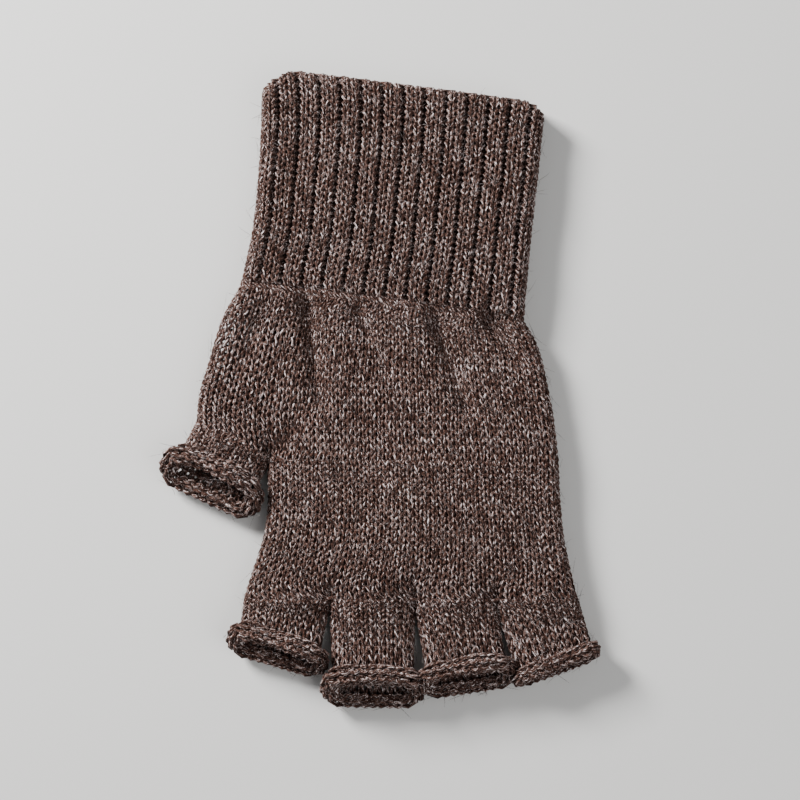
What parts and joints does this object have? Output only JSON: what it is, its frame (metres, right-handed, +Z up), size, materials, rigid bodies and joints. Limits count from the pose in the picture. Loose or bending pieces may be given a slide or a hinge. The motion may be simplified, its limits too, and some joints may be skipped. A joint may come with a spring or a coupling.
{
  "type": "fingerless glove",
  "caption": "Knitted fingerless glove lying flat: ribbed cuff, tubular hand with thumb gusset, and short thumb and finger tubes that end in rolled rims and fold at their roots.",
  "frame": {"origin": "middle of the glove's bounding box, on the surface that the glove lies on", "axes": "+Y from the fingers to the cuff, -X to the thumb's side, +Z up from the table, out of the side that the fingers curl towards"},
  "size_m": [0.1336, 0.1914, 0.0141],
  "materials": {
    "ribbed_knit": "rib-knitted marled brown wool, matt and slightly hairy",
    "plain_knit": "plain-knitted marled brown wool, matt and slightly hairy",
    "rolled_edge": "rolled plain knitting showing its purl side, matt",
    "joining_stitches": "drawn-in stitches in the same wool, matt"
  },
  "bodies": {
    "hand": {"hand_tube": "plain_knit", "wrist_join_row": "joining_stitches", "index_middle_crotch_join": "joining_stitches", "middle_ring_crotch_join": "joining_stitches", "ring_little_crotch_join": "joining_stitches"},
    "cuff": {"cuff_rib": "ribbed_knit", "cuff_cast_off_edge": "ribbed_knit"},
    "thumb": {"thumb_tube": "plain_knit", "thumb_rolled_rim": "rolled_edge"},
    "index_finger": {"index_tube": "plain_knit", "index_rolled_rim": "rolled_edge"},
    "middle_finger": {"middle_tube": "plain_knit", "middle_rolled_rim": "rolled_edge"},
    "ring_finger": {"ring_tube": "plain_knit", "ring_rolled_rim": "rolled_edge"},
    "little_finger": {"little_tube": "plain_knit", "little_rolled_rim": "rolled_edge"}
  },
  "joints": [
    {"name": "cuff_fold", "type": "hinge", "parent": "hand", "child": "cuff", "pos_m": [0.00108, 0.02599, 0.0123], "axis": [0.9917, -0.1288, 0], "range_deg": [0, 90]},
    {"name": "thumb_curl", "type": "hinge", "parent": "hand", "child": "thumb", "pos_m": [-0.04381, -0.01617, 0.0123], "axis": [-0.8862, 0.4633, 0], "range_deg": [0, 60]},
    {"name": "index_curl", "type": "hinge", "parent": "hand", "child": "index_finger", "pos_m": [-0.02752, -0.06401, 0.0123], "axis": [-1, 0, 0], "range_deg": [0, 90]},
    {"name": "middle_curl", "type": "hinge", "parent": "hand", "child": "middle_finger", "pos_m": [-0.00192, -0.06401, 0.0123], "axis": [-1, 0, 0], "range_deg": [0, 90]},
    {"name": "ring_curl", "type": "hinge", "parent": "hand", "child": "ring_finger", "pos_m": [0.02298, -0.06401, 0.0123], "axis": [-1, 0, 0], "range_deg": [0, 90]},
    {"name": "little_curl", "type": "hinge", "parent": "hand", "child": "little_finger", "pos_m": [0.04778, -0.06401, 0.0123], "axis": [-1, 0, 0], "range_deg": [0, 90]}
  ]
}
